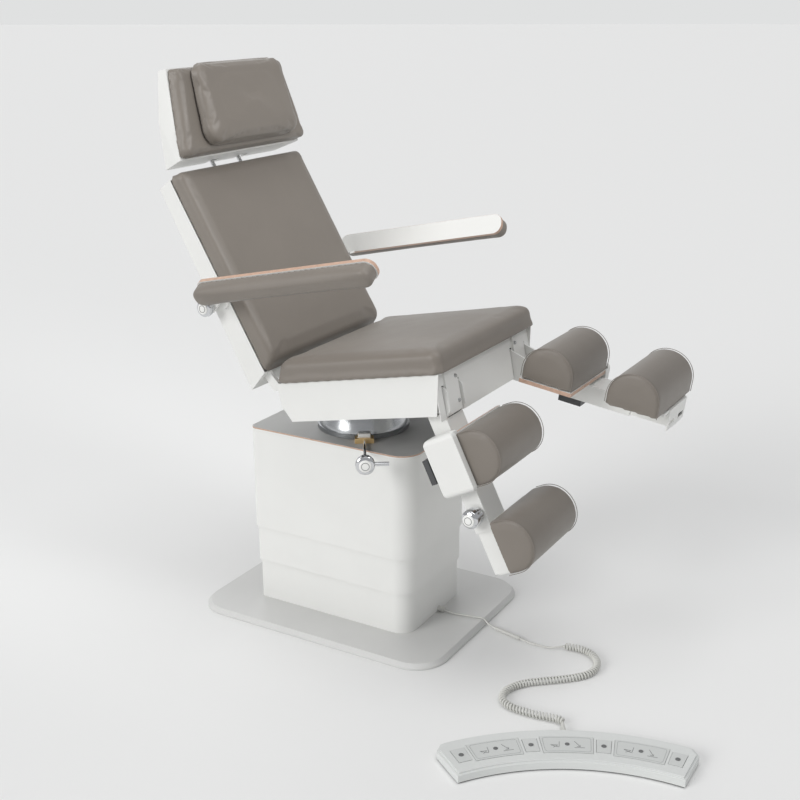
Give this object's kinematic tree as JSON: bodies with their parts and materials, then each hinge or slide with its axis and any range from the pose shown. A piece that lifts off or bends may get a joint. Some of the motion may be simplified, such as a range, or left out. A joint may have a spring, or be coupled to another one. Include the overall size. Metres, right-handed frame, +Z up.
{
  "type": "podiatry chair",
  "caption": "Podiatry chair on a telescopic lifting column: reclining back, sliding headrest, swing-up armrests, separate leg supports and an arc-shaped foot control on a curly cord.",
  "frame": {"origin": "centre of the base plate's underside, on the floor", "axes": "+X towards the sitter's feet, +Y to the sitter's left, +Z up"},
  "size_m": [1.6006, 1.0606, 1.5403],
  "materials": {
    "white_panel": "satin white paint",
    "white_shell": "satin white lacquer on a moulded shell",
    "base_grey": "pale grey paint",
    "board_grey": "pale grey laminate with a wood-coloured edge",
    "upholstery": "taupe imitation leather, matte",
    "dark_frame": "dark grey paint",
    "steel": "bare steel",
    "chrome": "polished chrome",
    "brass": "satin brass with a white block on it",
    "control_plastic": "pale grey plastic",
    "dark_plastic": "dark grey plastic",
    "cord_plastic": "pale grey cord"
  },
  "bodies": {
    "base": {"base_plate": "base_grey", "lower_cover": "white_panel", "lift_tube_outer": "steel", "lift_drive": "dark_frame", "control_box": "dark_plastic", "cord_fittings": "control_plastic", "lead": "cord_plastic", "curly_cord": "cord_plastic", "foot_housing": "control_plastic", "foot_tray": "dark_plastic"},
    "lift_mid": {"middle_cover": "white_panel", "lift_tube_middle": "steel"},
    "lift_top": {"upper_cover": "white_panel", "top_board": "board_grey", "lift_tube_inner": "steel", "turntable_base": "steel", "clamp_band": "chrome", "clamp_block": "brass"},
    "brake": {"brake_spindle": "chrome"},
    "turret": {"turret": "chrome"},
    "seat": {"seat_frame": "dark_frame", "seat_covers": "white_panel", "seat_cushion": "upholstery", "leg_hinge_plates": "white_panel", "back_actuator": "dark_frame"},
    "back_rod": {"back_rod": "chrome"},
    "back": {"back_frame": "dark_frame", "back_shell": "white_shell", "back_cushion": "upholstery"},
    "head_slide": {"headrest_stems": "chrome"},
    "head": {"headrest_shell": "white_shell", "headrest_cushion": "upholstery", "head_pillow": "upholstery"},
    "arm_left": {"armrest_left": "white_shell", "armrest_pad_left": "upholstery"},
    "arm_knob_left": {"armrest_knob_left": "chrome"},
    "leg_left": {"leg_tube_left": "white_panel", "leg_cover_left": "white_shell", "calf_cushion_left": "upholstery"},
    "slider_left": {"foot_slider_left": "white_panel", "foot_cushion_left": "upholstery"},
    "leg_knob_left": {"leg_knob_left": "chrome"},
    "leg_lever_left": {"leg_lever_left": "dark_plastic"},
    "arm_right": {"armrest_right": "white_shell", "armrest_pad_right": "upholstery"},
    "arm_knob_right": {"armrest_knob_right": "chrome"},
    "leg_right": {"leg_tube_right": "white_panel", "leg_cover_right": "white_shell", "calf_cushion_right": "upholstery"},
    "slider_right": {"foot_slider_right": "white_panel", "foot_cushion_right": "upholstery"},
    "leg_knob_right": {"leg_knob_right": "chrome"},
    "leg_lever_right": {"leg_lever_right": "dark_plastic"},
    "rocker_1": {"rocker_1": "control_plastic"},
    "rocker_2": {"rocker_2": "control_plastic"},
    "rocker_3": {"rocker_3": "control_plastic"},
    "key_1": {"key_1": "control_plastic"},
    "key_2": {"key_2": "control_plastic"},
    "key_3": {"key_3": "control_plastic"},
    "key_4": {"key_4": "control_plastic"}
  },
  "joints": [
    {"name": "lift", "type": "slide", "parent": "base", "child": "lift_top", "axis": [0, 0, 1], "range_m": [-0.15, 0.18]},
    {"name": "lift_middle", "type": "slide", "parent": "base", "child": "lift_mid", "axis": [0, 0, 1], "range_m": [-0.075, 0.09]},
    {"name": "swivel", "type": "hinge", "parent": "lift_top", "child": "turret", "pos_m": [0.01, 0, 0.56], "axis": [0, 0, 1], "range_deg": [-90, 90]},
    {"name": "brake_turn", "type": "hinge", "parent": "lift_top", "child": "brake", "pos_m": [0.11746, -0.16868, 0.556], "axis": [0.5373, -0.8434, 0], "range_deg": [-120, 120]},
    {"name": "seat_tilt", "type": "hinge", "parent": "turret", "child": "seat", "pos_m": [0.01, 0, 0.64], "axis": [0, 1, 0], "range_deg": [-8, 11.6]},
    {"name": "back_recline", "type": "hinge", "parent": "seat", "child": "back", "pos_m": [-0.10493, 0, 0.71502], "axis": [0, 1, 0], "range_deg": [-66, 5]},
    {"name": "rod_travel", "type": "slide", "parent": "seat", "child": "back_rod", "axis": [0.9796, 0, 0.2011], "range_m": [-0.0055, 0.0665]},
    {"name": "head_height", "type": "slide", "parent": "back", "child": "head_slide", "axis": [-0.5075, 0, 0.8616], "range_m": [0, 0.1]},
    {"name": "head_tilt", "type": "hinge", "parent": "head_slide", "child": "head", "pos_m": [-0.4604, 0, 1.29484], "axis": [0, 1, 0], "range_deg": [-15, 12]},
    {"name": "arm_fold_left", "type": "hinge", "parent": "back", "child": "arm_left", "pos_m": [-0.28293, 0.3, 0.91947], "axis": [0, 1, 0], "range_deg": [-100, 0]},
    {"name": "arm_knob_turn_left", "type": "hinge", "parent": "back", "child": "arm_knob_left", "pos_m": [-0.28293, 0.315, 0.91947], "axis": [0, 1, 0], "range_deg": [-180, 180]},
    {"name": "arm_fold_right", "type": "hinge", "parent": "back", "child": "arm_right", "pos_m": [-0.28293, -0.3, 0.91947], "axis": [0, 1, 0], "range_deg": [-100, 0]},
    {"name": "arm_knob_turn_right", "type": "hinge", "parent": "back", "child": "arm_knob_right", "pos_m": [-0.28293, -0.315, 0.91947], "axis": [0, 1, 0], "range_deg": [-180, 180]},
    {"name": "leg_swing_left", "type": "hinge", "parent": "seat", "child": "leg_left", "pos_m": [0.38538, 0.195, 0.76575], "axis": [0, 1, 0], "range_deg": [-20, 55.7]},
    {"name": "foot_slide_left", "type": "slide", "parent": "leg_left", "child": "slider_left", "axis": [0.9903, 0, -0.1392], "range_m": [0, 0.05]},
    {"name": "leg_knob_turn_left", "type": "hinge", "parent": "leg_left", "child": "leg_knob_left", "pos_m": [0.69316, 0.25, 0.68513], "axis": [0, 1, 0], "range_deg": [-180, 180]},
    {"name": "leg_lever_pull_left", "type": "hinge", "parent": "leg_left", "child": "leg_lever_left", "pos_m": [0.54569, 0.23, 0.67051], "axis": [0, 1, 0], "range_deg": [0, 12], "stiffness_Nm_per_rad": 1.5, "springref_deg": -8.59},
    {"name": "leg_swing_right", "type": "hinge", "parent": "seat", "child": "leg_right", "pos_m": [0.38538, -0.195, 0.76575], "axis": [0, 1, 0], "range_deg": [-75, 0]},
    {"name": "foot_slide_right", "type": "slide", "parent": "leg_right", "child": "slider_right", "axis": [0.4431, 0, -0.8965], "range_m": [0, 0.05]},
    {"name": "leg_knob_turn_right", "type": "hinge", "parent": "leg_right", "child": "leg_knob_right", "pos_m": [0.49222, -0.25, 0.46607], "axis": [0, 1, 0], "range_deg": [-180, 180]},
    {"name": "leg_lever_pull_right", "type": "hinge", "parent": "leg_right", "child": "leg_lever_right", "pos_m": [0.39704, -0.23, 0.57965], "axis": [0, 1, 0], "range_deg": [0, 12], "stiffness_Nm_per_rad": 1.5, "springref_deg": -8.59},
    {"name": "rocker_1", "type": "hinge", "parent": "base", "child": "rocker_1", "pos_m": [0.7014, -0.53748, 0.0228], "axis": [-0.6926, 0.7213, 0], "range_deg": [-1.5, 1.5], "stiffness_Nm_per_rad": 2},
    {"name": "rocker_2", "type": "hinge", "parent": "base", "child": "rocker_2", "pos_m": [0.84015, -0.43679, 0.0228], "axis": [-0.471, 0.8821, 0], "range_deg": [-1.5, 1.5], "stiffness_Nm_per_rad": 2},
    {"name": "rocker_3", "type": "hinge", "parent": "base", "child": "rocker_3", "pos_m": [1.001, -0.37751, 0.0228], "axis": [-0.2141, 0.9768, 0], "range_deg": [-1.5, 1.5], "stiffness_Nm_per_rad": 2},
    {"name": "key_1", "type": "slide", "parent": "base", "child": "key_1", "axis": [0, 0, -1], "range_m": [0, 0.0015], "stiffness_N_per_m": 400, "springref_m": -0.0005},
    {"name": "key_2", "type": "slide", "parent": "base", "child": "key_2", "axis": [0, 0, -1], "range_m": [0, 0.0015], "stiffness_N_per_m": 400, "springref_m": -0.0005},
    {"name": "key_3", "type": "slide", "parent": "base", "child": "key_3", "axis": [0, 0, -1], "range_m": [0, 0.0015], "stiffness_N_per_m": 400, "springref_m": -0.0005},
    {"name": "key_4", "type": "slide", "parent": "base", "child": "key_4", "axis": [0, 0, -1], "range_m": [0, 0.0015], "stiffness_N_per_m": 400, "springref_m": -0.0005}
  ],
  "couplings": [
    {"joint": "lift_middle", "follows": "lift", "ratio": 0.5},
    {"joint": "rod_travel", "follows": "back_recline", "m_per_rad": -0.0575}
  ]
}
